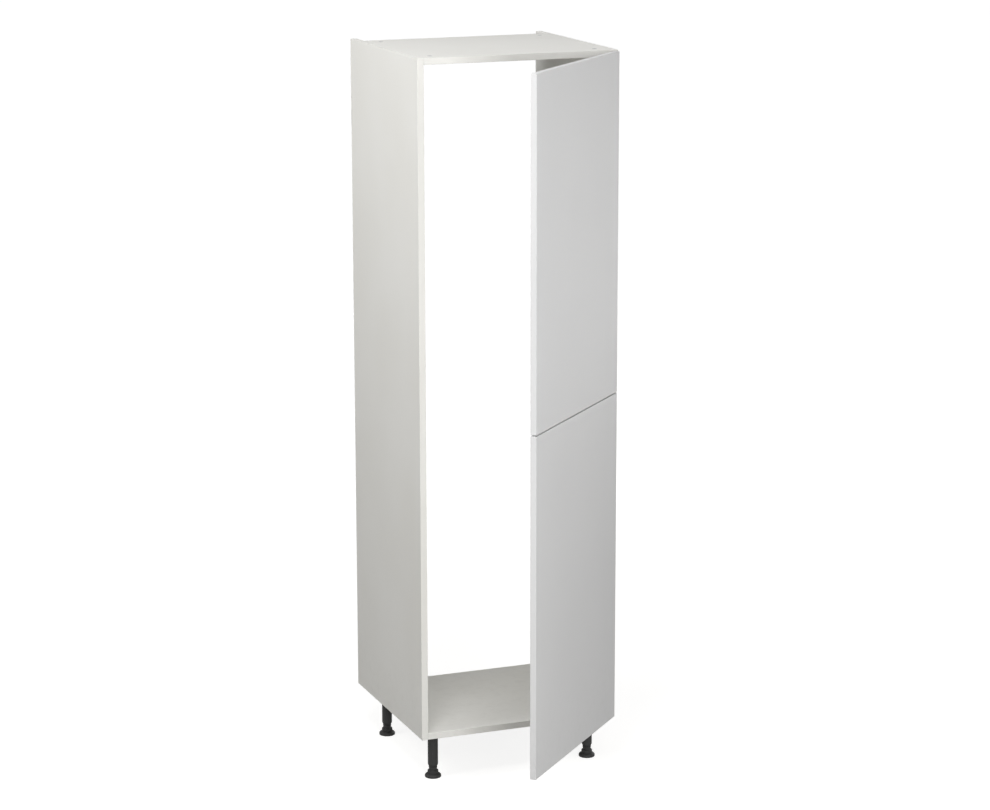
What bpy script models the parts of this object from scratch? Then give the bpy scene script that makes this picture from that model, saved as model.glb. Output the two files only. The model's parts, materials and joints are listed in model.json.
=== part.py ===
"""Fridge housing unit: a tall cabinet with an open back for a built-in appliance.

Two side panels, a top and a base stand on four adjustable legs. Two right-hung slab doors,
standing half open, turn on concealed cup hinges with two links each. Metres, +Z up. The front
faces -Y, and the origin is on the floor under the middle of the unit with its doors as modelled.
"""

from math import acos, asin, atan2, cos, pi, radians, sin

import bmesh
import bpy
from mathutils import Matrix, Vector

# Carcass
CARCASS_WIDTH = 0.600
CARCASS_DEPTH = 0.570
CARCASS_HEIGHT = 1.962
BOARD = 0.019
REAR_RECESS = 0.070
BOARD_EDGE_ROUND = 0.0006
BOARD_EDGE_STEPS = 1

# Doors
DOOR_THICKNESS = 0.018
DOOR_SIDE_GAP = 0.0015
DOOR_TOP_GAP = 0.003
DOOR_BASE_GAP = 0.003
DOOR_SPLIT_GAP = 0.003
DOOR_BUFFER_GAP = 0.002
DOOR_EDGE_ROUND = 0.0015
DOOR_EDGE_STEPS = 2
UPPER_DOOR_SHARE = 0.5
DOOR_TURN = radians(45)

# The sides of the unit along X
SIDES = {"left": -1, "right": 1}

# Gaps between pieces that touch, and the overrun of every cutter past the face it opens
SEAT_GAP = 0.0003
OVERRUN = 0.002
MERGE_DISTANCE = 0.000001
SHARP_ANGLE = radians(35)

# Cam and bolt joints between the boards
CAM_DIAMETER = 0.015
CAM_DEPTH = 0.0128
CAM_FROM_END = 0.034
CAM_FROM_FRONT = 0.0465
CAM_FROM_REAR = 0.0465
CAM_FIT = 0.0003
CAM_SLOT_WIDTH = 0.0026
CAM_SLOT_DEPTH = 0.003
CAM_SLOT_SHARE = 0.7
BOLT_DIAMETER = 0.0065
BOLT_FIT = 0.0004
BOLT_REACH = 0.011
CAM_SIDES = 16
BOLT_SIDES = 8

# Adjustable legs
LEG_HEIGHT = 0.138
LEG_FROM_SIDE = 0.0567
LEG_FROM_FRONT = 0.0656
LEG_FROM_BASE_REAR = 0.0316
SOCKET_FLANGE_DIAMETER = 0.060
SOCKET_FLANGE = 0.004
SOCKET_HEIGHT = 0.012
SOCKET_WALL = 0.003
SOCKET_SCREW_DIAMETER = 0.005
SOCKET_SCREW_CIRCLE = 0.048
SOCKET_SCREWS = 4
SLEEVE_WALL = 0.0021
SLEEVE_FROM_FLOOR = 0.036
SLEEVE_CROWN = 0.004
SLEEVE_FIT = 0.0003
STEM_DIAMETER = 0.025
STEM_FIT = 0.0004
STEM_REACH = 0.056
STEM_GROOVE = 0.0008
STEM_GROOVE_WIDTH = 0.0015
FOOT_RING_BOTTOM = 0.011
FOOT_RING_HEIGHT = 0.010
FOOT_RING_PROUD = 0.0005
FOOT_FLANGE_DIAMETER = 0.048
FOOT_DOME_SHARES = ((0.0, 0.95), (0.12, 1.0), (0.42, 1.0), (0.75, 0.6), (1.0, 0.1))
LEG_SIDES = 20

# Concealed hinges. Places are measured from a side panel's inner front edge: inboard of the panel's
# inner face, then forward of the carcass front, with the door closed.
HINGE_FROM_DOOR_END = 0.100
HINGES_PER_DOOR = 3
PLATE_SCREW_FROM_FRONT = 0.037
PLATE_SCREW_PITCH = 0.032
PLATE_SCREW_DIAMETER = 0.005
PLATE_WING_LENGTH = 0.048
PLATE_WING_WIDTH = 0.014
PLATE_WING = 0.002
WING_ROUND_SHARE = 0.45
PLATE_RAIL_REAR = 0.026
PLATE_RAIL_FRONT = 0.017
PLATE_RAIL_HEIGHT = 0.0078
PLATE_RAIL_BEVEL = 0.002
ARM_WIDTH = 0.0158
ARM_REAR = 0.076
ARM_FRONT = 0.017
ARM_WALL = 0.0016
ARM_FOOT = 0.0009
ARM_CHEEK_CUT = 0.007
ARM_TONGUE_ROOT = 0.024
ARM_TONGUE_WIDTH = 0.0044
ARM_EYE = 0.003
ARM_NOSE_EYE = 0.0024
ARM_SCREW_DIAMETER = 0.0068
ARM_SCREW_HEAD = 0.0016
ARM_SCREW_SLOT = 0.0012
ARM_SCREW_FROM_FRONT = (0.064, 0.042)
CUP_DIAMETER = 0.035
CUP_INBOARD = 0.005
CUP_DEPTH = 0.0128
CUP_FLOOR = 0.001
CUP_WALL = 0.001
CUP_FIT = 0.0003
CUP_RIM = 0.0008
CUP_POCKET_WIDTH = 0.0168
CUP_SCREW_PITCH = 0.045
CUP_SCREW_OFFSET = 0.0095
CUP_SCREW_DIAMETER = 0.005
CUP_FLANGE = 0.0012
CUP_FLANGE_WIDTH = 0.0205
CUP_FLANGE_OVERHANG = 0.006
CUP_FLANGE_ROUND = 0.006
CUP_SIDES = 24
CUP_PIN_SEAT = 0.0016
LINK_GAP = 0.00035
SHORT_LINK_CHEEK = 0.0018
LONG_LINK_CHEEK = 0.0018
LINK_EYE = 0.0021
LINK_WAIST = 0.0017
PIN_DIAMETER = 0.0025
PIN_FIT = 0.00025
PIN_SIDES = 8
CORNER_STEPS = 3
EYE_STEPS = 3
EYE_EASE = radians(40)
BAND_STEPS = 4
POCKET_STEPS = 4
SCREW_SIDES = 8
LONG_ARM_PIVOT = (0.0120, -0.0133)
SHORT_ARM_PIVOT = (0.0174, 0.0042)
LONG_CUP_PIVOT_OUTBOARD = 0.0121
LONG_CUP_PIVOT_DEPTH = 0.0041
SHORT_CUP_PIVOT_OUTBOARD = 0.0062
SHORT_CUP_PIVOT_DEPTH = 0.0058
LONG_LINK_KNEE_OUTBOARD = 0.0055
LONG_LINK_KNEE_DEPTH = 0.0095
SHORT_LINK_BOW = 0.0025

# Finishes: colour, roughness and metallic value
WHITE_BOARD = ("white_board", (0.86, 0.86, 0.84, 1), 0.45, 0)
WHITE_DOOR = ("white_door", (0.80, 0.80, 0.79, 1), 0.4, 0)
BLACK_PLASTIC = ("black_plastic", (0.015, 0.015, 0.016, 1), 0.5, 0)
PRESSED_STEEL = ("pressed_steel", (0.62, 0.62, 0.63, 1), 0.3, 1)
CAST_ZINC = ("cast_zinc", (0.45, 0.45, 0.46, 1), 0.4, 1)

# Worked out from the sizes above
INNER_X = CARCASS_WIDTH / 2 - BOARD
DOOR_WIDTH = CARCASS_WIDTH - 2 * DOOR_SIDE_GAP
DOOR_EDGE = DOOR_SIDE_GAP - BOARD
DOOR_BACK = DOOR_BUFFER_GAP
CARCASS_TOP = LEG_HEIGHT + CARCASS_HEIGHT
LONG_CUP_PIVOT = (CUP_INBOARD - LONG_CUP_PIVOT_OUTBOARD, DOOR_BACK + LONG_CUP_PIVOT_DEPTH)
SHORT_CUP_PIVOT = (CUP_INBOARD - SHORT_CUP_PIVOT_OUTBOARD, DOOR_BACK + SHORT_CUP_PIVOT_DEPTH)
LONG_LINK_KNEE = (CUP_INBOARD - LONG_LINK_KNEE_OUTBOARD, DOOR_BACK + LONG_LINK_KNEE_DEPTH)


def turned_place(place, turn):
    """A plan place turned about the origin."""
    return Vector((
        place[0] * cos(turn) - place[1] * sin(turn),
        place[0] * sin(turn) + place[1] * cos(turn),
    ))


def linkage(turn):
    """The long link's turn since the door was closed, and its cup pivot's place, at a door's turn.

    The two links and the door's cup close a loop between the arm's two pivots, so the long link lies
    where the short link just reaches from its own arm pivot to its own cup pivot.
    """
    long_arm, short_arm = Vector(LONG_ARM_PIVOT), Vector(SHORT_ARM_PIVOT)
    long_reach = Vector(LONG_CUP_PIVOT) - long_arm
    short_reach = Vector(SHORT_CUP_PIVOT) - short_arm
    span = Vector(SHORT_CUP_PIVOT) - Vector(LONG_CUP_PIVOT)

    def swing(angle):
        base = long_arm + turned_place(span, angle) - short_arm
        closing = (short_reach.length_squared - long_reach.length_squared - base.length_squared)
        return atan2(base.y, base.x), acos(closing / (2 * long_reach.length * base.length))

    closed_angle = atan2(long_reach.y, long_reach.x)
    closed_base, _ = swing(0)
    side = 1 if sin(closed_angle - closed_base) > 0 else -1
    base_angle, swung = swing(turn)
    link_angle = base_angle + side * swung
    link_turn = (link_angle - closed_angle + pi) % (2 * pi) - pi
    return link_turn, long_arm + turned_place(long_reach, link_turn)


def short_link_turn(turn):
    """The short link's turn since the door was closed, at a door's turn."""
    span = turned_place(Vector(SHORT_CUP_PIVOT) - Vector(LONG_CUP_PIVOT), turn)
    reach = linkage(turn)[1] + span - Vector(SHORT_ARM_PIVOT)
    closed = Vector(SHORT_CUP_PIVOT) - Vector(SHORT_ARM_PIVOT)
    return (atan2(reach.y, reach.x) - atan2(closed.y, closed.x) + pi) % (2 * pi) - pi


LONG_LINK_TURN, DOOR_PIVOT = linkage(DOOR_TURN)
SHORT_LINK_TURN = short_link_turn(DOOR_TURN)
FREE_CORNER = DOOR_PIVOT + turned_place(
    Vector((DOOR_EDGE + DOOR_WIDTH, DOOR_BACK + DOOR_THICKNESS)) - Vector(LONG_CUP_PIVOT), DOOR_TURN
)
FRONT_Y = (FREE_CORNER.y - CARCASS_DEPTH) / 2
SLEEVE_DIAMETER = STEM_DIAMETER + 2 * (STEM_FIT + SLEEVE_WALL)
ARM_TOP = PLATE_RAIL_HEIGHT + SEAT_GAP + ARM_WALL
SHORT_LINK_INNER = ARM_TONGUE_WIDTH / 2 + LINK_GAP
SHORT_LINK_OUTER = SHORT_LINK_INNER + SHORT_LINK_CHEEK
LONG_LINK_INNER = SHORT_LINK_OUTER + LINK_GAP
LONG_LINK_OUTER = LONG_LINK_INNER + LONG_LINK_CHEEK


def material(finish):
    """The Principled material of a finish, made once."""
    name, colour, roughness, metallic = finish
    made = bpy.data.materials.get(name)
    if made:
        return made
    made = bpy.data.materials.new(name)
    made.use_nodes = True
    shader = made.node_tree.nodes["Principled BSDF"]
    shader.inputs["Base Color"].default_value = colour
    shader.inputs["Roughness"].default_value = roughness
    shader.inputs["Metallic"].default_value = metallic
    made.diffuse_color = colour
    return made


def empty(name, place, turn=0, parent=None):
    """An empty that carries the pieces of one joint axis or frame."""
    made = bpy.data.objects.new(name, None)
    made.location = place
    made.rotation_euler.z = turn
    made.parent = parent
    bpy.context.collection.objects.link(made)
    return made


def piece(name, mesh, finish, place=(0, 0, 0), parent=None):
    """One named object from a bmesh, smooth but for its sharp edges."""
    bmesh.ops.recalc_face_normals(mesh, faces=mesh.faces)
    data = bpy.data.meshes.new(name)
    mesh.to_mesh(data)
    mesh.free()
    data.materials.append(material(finish))
    data.shade_smooth()
    data.set_sharp_from_angle(angle=SHARP_ANGLE)
    made = bpy.data.objects.new(name, data)
    made.location = place
    made.parent = parent
    bpy.context.collection.objects.link(made)
    return made


def shape(part, mesh, place=None, operation="DIFFERENCE"):
    """Cut or join a part with a bmesh, placed beside the part's own origin or where the part itself is."""
    tool = piece(f"{part.name}_tool", mesh, BLACK_PLASTIC, place or part.location, part.parent)
    tool.hide_render = True
    tool.display_type = "WIRE"
    change = part.modifiers.new(operation.title(), "BOOLEAN")
    change.operation = operation
    change.object = tool


def soften(part, width, steps):
    """Round a part's sharp edges."""
    rounding = part.modifiers.new("Rounding", "BEVEL")
    rounding.width = width
    rounding.segments = steps
    rounding.limit_method = "ANGLE"


def block(low, high):
    """A box between two corners."""
    low, high = Vector(low), Vector(high)
    mesh = bmesh.new()
    bmesh.ops.create_cube(mesh, size=1)
    bmesh.ops.scale(mesh, vec=high - low, verts=mesh.verts)
    bmesh.ops.translate(mesh, vec=(low + high) / 2, verts=mesh.verts)
    return mesh


def prism(outline, low, high):
    """A plan outline extruded between two heights."""
    mesh = bmesh.new()
    face = mesh.faces.new([mesh.verts.new((x, y, low)) for x, y in outline])
    grown = bmesh.ops.extrude_face_region(mesh, geom=[face])["geom"]
    raised = [part for part in grown if isinstance(part, bmesh.types.BMVert)]
    bmesh.ops.translate(mesh, vec=(0, 0, high - low), verts=raised)
    return mesh


def turned(profile, sides):
    """A profile of radii and heights, from the axis and back to it, spun round +Z."""
    mesh = bmesh.new()
    verts = [mesh.verts.new((radius, 0, height)) for radius, height in profile]
    edges = [mesh.edges.new(pair) for pair in zip(verts, verts[1:])]
    bmesh.ops.spin(
        mesh, geom=verts + edges, cent=(0, 0, 0), axis=(0, 0, 1), angle=2 * pi, steps=sides, use_merge=True
    )
    bmesh.ops.remove_doubles(mesh, verts=mesh.verts, dist=MERGE_DISTANCE)
    return mesh


def rod(diameter, low, high, sides):
    """A round bar along +Z between two heights."""
    radius = diameter / 2
    return turned(((0, low), (radius, low), (radius, high), (0, high)), sides)


def laid(mesh, axis, place=(0, 0, 0)):
    """A mesh with its +Z turned to +X or +Y, then moved to a place."""
    turns = {
        "X": Matrix.Rotation(pi / 2, 3, "Y"),
        "Y": Matrix.Rotation(-pi / 2, 3, "X"),
        "Z": Matrix.Identity(3),
    }
    bmesh.ops.rotate(mesh, cent=(0, 0, 0), matrix=turns[axis], verts=mesh.verts)
    bmesh.ops.translate(mesh, vec=place, verts=mesh.verts)
    return mesh


def arc(centre, radius, start, end, steps):
    """Places along an arc."""
    angles = [start + (end - start) * step / steps for step in range(steps + 1)]
    return [Vector((centre[0] + radius * cos(angle), centre[1] + radius * sin(angle))) for angle in angles]


def rounded_rectangle(centre, width, length, radius):
    """A plan rectangle with round corners, anticlockwise from its +X +Y corner."""
    outline = []
    for number, (across, along) in enumerate(((1, 1), (-1, 1), (-1, -1), (1, -1))):
        corner = (centre[0] + across * (width / 2 - radius), centre[1] + along * (length / 2 - radius))
        outline += arc(corner, radius, number * pi / 2, (number + 1) * pi / 2, CORNER_STEPS)
    return outline


def bowed_band(start, end, bow, steps):
    """The outline of a link with an eye at each end and a waist, bowed to the right of its run."""
    start, end = Vector(start), Vector(end)
    run = end - start
    side = Vector((run.y, -run.x)).normalized()
    crown = (start + end) / 2 + 2 * bow * side
    right, left = [], []
    for step in range(1, steps):
        share = step / steps
        place = start.lerp(crown, share).lerp(crown.lerp(end, share), share)
        heading = (crown - start).lerp(end - crown, share).normalized()
        square = Vector((heading.y, -heading.x))
        waist = LINK_EYE + (LINK_WAIST - LINK_EYE) * sin(pi * share)
        right.append(place + waist * square)
        left.append(place - waist * square)
    leaving = atan2((crown - start).y, (crown - start).x)
    arriving = atan2((end - crown).y, (end - crown).x)
    first_eye = arc(start, LINK_EYE, leaving + pi / 2, leaving + 3 * pi / 2, EYE_STEPS)
    last_eye = arc(end, LINK_EYE, arriving - pi / 2, arriving + pi / 2, EYE_STEPS)
    return first_eye + right + last_eye + left[::-1]


def kneed_band(start, knee, end):
    """The outline of a link with an eye at each end that turns back on itself to the left at a knee."""
    start, knee, end = Vector(start), Vector(knee), Vector(end)
    leaving = atan2((knee - start).y, (knee - start).x)
    arriving = atan2((end - knee).y, (end - knee).x) % (2 * pi)
    crook = (leaving + arriving) / 2 + pi / 2
    reach = LINK_WAIST / cos((arriving - leaving) / 2)
    outline = arc(start, LINK_EYE, leaving + pi / 2, leaving + 3 * pi / 2, EYE_STEPS)
    outline += arc(knee, LINK_WAIST, leaving - pi / 2, arriving - pi / 2, EYE_STEPS)
    outline += arc(end, LINK_EYE, arriving - pi / 2, arriving + pi / 2, EYE_STEPS)
    outline.append(knee + reach * Vector((cos(crook), sin(crook))))
    return outline


def ordered(first, second):
    """Two bounds, the lower first."""
    return min(first, second), max(first, second)


def board(name, low, high, finish=WHITE_BOARD, parent=None):
    """A board between two corners, with its origin at its middle."""
    low, high = Vector(low), Vector(high)
    half = (high - low) / 2
    return piece(name, block(-half, half), finish, low + half, parent)


def cam_rows():
    """The front and rear rows of cams, as places along Y."""
    rear_edge = FRONT_Y + CARCASS_DEPTH - REAR_RECESS
    return {"front": FRONT_Y + CAM_FROM_FRONT, "rear": rear_edge - CAM_FROM_REAR}


def side_panel(name, side):
    """A side panel, with holes for the bolts that hold the top and the base."""
    low_x, high_x = ordered(side * INNER_X, side * CARCASS_WIDTH / 2)
    panel = board(name, (low_x, FRONT_Y, LEG_HEIGHT), (high_x, FRONT_Y + CARCASS_DEPTH, CARCASS_TOP))
    soften(panel, BOARD_EDGE_ROUND, BOARD_EDGE_STEPS)
    low, high = ordered(-side * OVERRUN, side * (BOLT_REACH + BOLT_FIT))
    for row in cam_rows().values():
        for height in (LEG_HEIGHT + BOARD / 2, CARCASS_TOP - BOARD / 2):
            hole = laid(rod(BOLT_DIAMETER + 2 * BOLT_FIT, low, high, BOLT_SIDES), "X")
            shape(panel, hole, (side * INNER_X, row, height))
    return panel


def cross_panel(name, face):
    """The top or the base: a board between the sides, bored for its cams from its outward face."""
    end = INNER_X - SEAT_GAP
    low_z = CARCASS_TOP - BOARD if face > 0 else LEG_HEIGHT
    rear = FRONT_Y + CARCASS_DEPTH - REAR_RECESS
    panel = board(name, (-end, FRONT_Y, low_z), (end, rear, low_z + BOARD))
    soften(panel, BOARD_EDGE_ROUND, BOARD_EDGE_STEPS)
    face_z = low_z + BOARD if face > 0 else low_z
    low, high = ordered(-face * CAM_DEPTH, face * OVERRUN)
    for place_name, row in cam_rows().items():
        for side_name, side in SIDES.items():
            cam_x = side * (end - CAM_FROM_END)
            shape(panel, rod(CAM_DIAMETER, low, high, CAM_SIDES), (cam_x, row, face_z))
            bore_low, bore_high = ordered(0, side * (CAM_FROM_END + OVERRUN))
            bore = laid(rod(BOLT_DIAMETER + 2 * BOLT_FIT, bore_low, bore_high, BOLT_SIDES), "X")
            shape(panel, bore, (cam_x, row, face_z - face * BOARD / 2))
            cam_lock(f"{name.split('_')[0]}_cam_{side_name}_{place_name}", (cam_x, row, face_z), side, face)
    return panel


def cam_lock(name, place, side, face):
    """A cam in its bore, with the bolt that it draws out of the side panel."""
    low, high = ordered(-face * (CAM_DEPTH - SEAT_GAP), 0)
    lock = piece(name, rod(CAM_DIAMETER - 2 * CAM_FIT, low, high, CAM_SIDES), CAST_ZINC, place)
    bolt_low, bolt_high = ordered(0, side * (CAM_FROM_END + SEAT_GAP + BOLT_REACH))
    bolt = laid(rod(BOLT_DIAMETER, bolt_low, bolt_high, BOLT_SIDES), "X", (0, 0, -face * BOARD / 2))
    shape(lock, bolt, operation="UNION")
    slot_low, slot_high = ordered(-face * CAM_SLOT_DEPTH, face * OVERRUN)
    half_width, half_length = CAM_SLOT_WIDTH / 2, CAM_DIAMETER / 2 * CAM_SLOT_SHARE
    shape(lock, block((-half_width, -half_length, slot_low), (half_width, half_length, slot_high)))
    return lock


def leg(name, x, y):
    """An adjustable leg: a socket under the base, a sleeve pushed into it and a foot on a long stem."""
    top = LEG_HEIGHT - SEAT_GAP
    flange_under = top - SOCKET_FLANGE
    sleeve_top = flange_under - SEAT_GAP
    ring_inner = SLEEVE_DIAMETER / 2 + SLEEVE_FIT
    ring_outer = ring_inner + SOCKET_WALL
    flange_edge = SOCKET_FLANGE_DIAMETER / 2
    socket_profile = (
        (0, flange_under),
        (ring_inner, flange_under),
        (ring_inner, top - SOCKET_HEIGHT),
        (ring_outer, top - SOCKET_HEIGHT),
        (ring_outer, flange_under),
        (flange_edge, flange_under),
        (flange_edge, top),
        (0, top),
    )
    socket = piece(f"{name}_socket", turned(socket_profile, LEG_SIDES), BLACK_PLASTIC, (x, y, 0))
    for number in range(SOCKET_SCREWS):
        angle = pi / 4 + number * 2 * pi / SOCKET_SCREWS
        hole = rod(SOCKET_SCREW_DIAMETER, flange_under - OVERRUN, top + OVERRUN, SCREW_SIDES)
        reach = SOCKET_SCREW_CIRCLE / 2
        shape(socket, hole, (x + reach * cos(angle), y + reach * sin(angle), 0))

    bore = STEM_DIAMETER / 2 + STEM_FIT
    sleeve_profile = (
        (0, sleeve_top - SLEEVE_CROWN),
        (bore, sleeve_top - SLEEVE_CROWN),
        (bore, SLEEVE_FROM_FLOOR),
        (SLEEVE_DIAMETER / 2, SLEEVE_FROM_FLOOR),
        (SLEEVE_DIAMETER / 2, sleeve_top),
        (0, sleeve_top),
    )
    piece(f"{name}_sleeve", turned(sleeve_profile, LEG_SIDES), BLACK_PLASTIC, (x, y, 0))

    ring = SLEEVE_DIAMETER / 2 + FOOT_RING_PROUD
    ring_top = FOOT_RING_BOTTOM + FOOT_RING_HEIGHT
    stem = STEM_DIAMETER / 2
    groove = (ring_top + SLEEVE_FROM_FLOOR) / 2
    dome = [
        (ring + (FOOT_FLANGE_DIAMETER / 2 - ring) * spread, FOOT_RING_BOTTOM * rise)
        for rise, spread in FOOT_DOME_SHARES
    ]
    foot_profile = [(0, 0)] + dome + [
        (ring, FOOT_RING_BOTTOM),
        (ring, ring_top),
        (stem - STEM_GROOVE, ring_top),
        (stem - STEM_GROOVE, groove - STEM_GROOVE_WIDTH),
        (stem, groove),
        (stem, SLEEVE_FROM_FLOOR + STEM_REACH),
        (0, SLEEVE_FROM_FLOOR + STEM_REACH),
    ]
    piece(f"{name}_foot", turned(foot_profile, LEG_SIDES), BLACK_PLASTIC, (x, y, 0))


def mounting_plate(name, height, frame):
    """A cross-shaped plate screwed to the side panel, with the rail that the arm slides over."""
    rear = -PLATE_SCREW_FROM_FRONT - PLATE_RAIL_REAR
    front = -PLATE_SCREW_FROM_FRONT + PLATE_RAIL_FRONT
    crest = PLATE_RAIL_HEIGHT - PLATE_RAIL_BEVEL
    rail = (
        (SEAT_GAP, rear),
        (crest, rear),
        (PLATE_RAIL_HEIGHT, rear + PLATE_RAIL_BEVEL),
        (PLATE_RAIL_HEIGHT, front - PLATE_RAIL_BEVEL),
        (crest, front),
        (SEAT_GAP, front),
    )
    rail_width = ARM_WIDTH - 2 * (ARM_WALL + SEAT_GAP)
    plate = piece(name, prism(rail, -rail_width / 2, rail_width / 2), CAST_ZINC, (0, 0, height), frame)
    wing_round = PLATE_WING_WIDTH * WING_ROUND_SHARE
    outline = rounded_rectangle((0, 0), PLATE_WING_LENGTH, PLATE_WING_WIDTH, wing_round)
    wings = laid(prism(outline, SEAT_GAP, SEAT_GAP + PLATE_WING), "X", (0, -PLATE_SCREW_FROM_FRONT, 0))
    shape(plate, wings, operation="UNION")
    for side in (-1, 1):
        hole = rod(PLATE_SCREW_DIAMETER, SEAT_GAP - OVERRUN, SEAT_GAP + PLATE_WING + OVERRUN, SCREW_SIDES)
        shape(plate, laid(hole, "X", (0, -PLATE_SCREW_FROM_FRONT, side * PLATE_SCREW_PITCH / 2)))
    return plate


def arm(name, height, frame):
    """A pressed channel over the plate's rail, with a narrow tongue that carries the two arm pivots."""
    foot = SEAT_GAP + PLATE_WING + ARM_FOOT
    cheek = [
        (foot, -ARM_REAR),
        (ARM_TOP, -ARM_REAR),
        (ARM_TOP, -ARM_FRONT),
        (ARM_TOP - ARM_WALL, -ARM_FRONT),
        (foot, -ARM_FRONT - ARM_CHEEK_CUT),
    ]
    half = ARM_WIDTH / 2
    made = piece(name, prism(cheek, -half, half), PRESSED_STEEL, (0, 0, height), frame)
    hollow = [
        (-OVERRUN, -ARM_REAR - OVERRUN),
        (ARM_TOP - ARM_WALL, -ARM_REAR - OVERRUN),
        (ARM_TOP - ARM_WALL, -ARM_FRONT + OVERRUN),
        (-OVERRUN, -ARM_FRONT + OVERRUN),
    ]
    shape(made, prism(hollow, -half + ARM_WALL, half - ARM_WALL))

    tongue = [Vector((ARM_TOP - ARM_WALL / 2, -ARM_TONGUE_ROOT))]
    tongue += arc(LONG_ARM_PIVOT, ARM_EYE, -EYE_EASE, 0, 1)
    tongue += arc(SHORT_ARM_PIVOT, ARM_NOSE_EYE, 0, pi, EYE_STEPS)
    tongue += arc(LONG_ARM_PIVOT, ARM_EYE, pi, pi + EYE_EASE, 1)
    shape(made, prism(tongue, -ARM_TONGUE_WIDTH / 2, ARM_TONGUE_WIDTH / 2), operation="UNION")
    bore = rod(PIN_DIAMETER + 2 * PIN_FIT, -half, half, PIN_SIDES)
    shape(made, laid(bore, "Z", (*LONG_ARM_PIVOT, 0)))
    pin = rod(PIN_DIAMETER, -SHORT_LINK_OUTER, SHORT_LINK_OUTER, PIN_SIDES)
    shape(made, laid(pin, "Z", (*SHORT_ARM_PIVOT, 0)), operation="UNION")

    for from_front in ARM_SCREW_FROM_FRONT:
        head_top = ARM_TOP + ARM_SCREW_HEAD
        seat = (0, -from_front, 0)
        head = rod(ARM_SCREW_DIAMETER, ARM_TOP - ARM_WALL / 2, head_top, SCREW_SIDES)
        shape(made, laid(head, "X", seat), operation="UNION")
        low = Vector((ARM_TOP + ARM_SCREW_HEAD / 2, -from_front - ARM_SCREW_DIAMETER, -ARM_SCREW_SLOT / 2))
        high = Vector((head_top + OVERRUN, -from_front + ARM_SCREW_DIAMETER, ARM_SCREW_SLOT / 2))
        shape(made, block(low, high))
    return made


def cup_place(inboard, forward):
    """A closed door's plan place, seen from the door's pivot."""
    return inboard - LONG_CUP_PIVOT[0], forward - LONG_CUP_PIVOT[1]


def cup(name, height, door_axis):
    """A pressed cup in the door's bore, with a screwed flange and seats for the long link's pin."""
    centre = cup_place(CUP_INBOARD, DOOR_BACK)
    floor = CUP_DEPTH
    pot = laid(rod(CUP_DIAMETER - 2 * CUP_FIT, -CUP_RIM, floor, CUP_SIDES), "Y", (*centre, 0))
    made = piece(name, pot, PRESSED_STEEL, (0, 0, height), door_axis)
    flange_length = CUP_SCREW_PITCH + 2 * CUP_FLANGE_OVERHANG
    outline = rounded_rectangle((CUP_SCREW_OFFSET, 0), CUP_FLANGE_WIDTH, flange_length, CUP_FLANGE_ROUND)
    flange = laid(prism(outline, -SEAT_GAP - CUP_FLANGE, -SEAT_GAP), "Y", (*centre, 0))
    shape(made, flange, operation="UNION")

    radius = CUP_DIAMETER / 2 - CUP_FIT - CUP_WALL
    reach = asin(CUP_POCKET_WIDTH / 2 / radius)
    outline = arc((0, 0), radius, -reach, reach, POCKET_STEPS)
    outline += arc((0, 0), radius, pi - reach, pi + reach, POCKET_STEPS)
    pocket = prism(outline, -SEAT_GAP - CUP_FLANGE - OVERRUN, floor - CUP_FLOOR)
    shape(made, laid(pocket, "Y", (*centre, 0)))
    for side in (-1, 1):
        hole = rod(CUP_SCREW_DIAMETER, -SEAT_GAP - CUP_FLANGE - OVERRUN, -SEAT_GAP + OVERRUN, SCREW_SIDES)
        seat = (centre[0] + CUP_SCREW_OFFSET, centre[1], side * CUP_SCREW_PITCH / 2)
        shape(made, laid(hole, "Y", seat))
    pin_reach = CUP_POCKET_WIDTH / 2 + CUP_PIN_SEAT
    shape(made, rod(PIN_DIAMETER + 2 * PIN_FIT, -pin_reach, pin_reach, PIN_SIDES))
    return made


def cheeks(part, outline, inner, outer):
    """Join the two cheeks of a link to a part."""
    for side in (-1, 1):
        low, high = ordered(side * inner, side * outer)
        shape(part, prism(outline, low, high), operation="UNION")


def long_link(name, height, long_axis):
    """The long link: two cheeks that reach round the door's edge, on a pin in the arm and one in the cup."""
    knee = Vector(LONG_LINK_KNEE) - Vector(LONG_ARM_PIVOT)
    reach = Vector(LONG_CUP_PIVOT) - Vector(LONG_ARM_PIVOT)
    arm_pin = rod(PIN_DIAMETER, -LONG_LINK_OUTER, LONG_LINK_OUTER, PIN_SIDES)
    made = piece(name, arm_pin, PRESSED_STEEL, (0, 0, height), long_axis)
    seat = CUP_POCKET_WIDTH / 2 + CUP_PIN_SEAT - SEAT_GAP
    cup_pin = laid(rod(PIN_DIAMETER, -seat, seat, PIN_SIDES), "Z", (*reach, 0))
    cheeks(made, kneed_band((0, 0), knee, reach), LONG_LINK_INNER, LONG_LINK_OUTER)
    shape(made, cup_pin, operation="UNION")
    return made


def short_link(name, height, short_axis):
    """The short link: two cheeks on the arm's front pin, joined by the pin at the cup's end."""
    reach = Vector(SHORT_CUP_PIVOT) - Vector(SHORT_ARM_PIVOT)
    cup_pin = laid(rod(PIN_DIAMETER, -SHORT_LINK_OUTER, SHORT_LINK_OUTER, PIN_SIDES), "Z", (*reach, 0))
    made = piece(name, cup_pin, PRESSED_STEEL, (0, 0, height), short_axis)
    cheeks(made, bowed_band((0, 0), reach, SHORT_LINK_BOW, BAND_STEPS), SHORT_LINK_INNER, SHORT_LINK_OUTER)
    shape(made, rod(PIN_DIAMETER + 2 * PIN_FIT, -LONG_LINK_OUTER, LONG_LINK_OUTER, PIN_SIDES))
    return made


def hinge_heights(low, high):
    """The hinges' heights on a door, the first and last at the same distance from its ends."""
    first, last = low + HINGE_FROM_DOOR_END, high - HINGE_FROM_DOOR_END
    return [first + (last - first) * step / (HINGES_PER_DOOR - 1) for step in range(HINGES_PER_DOOR)]


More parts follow.
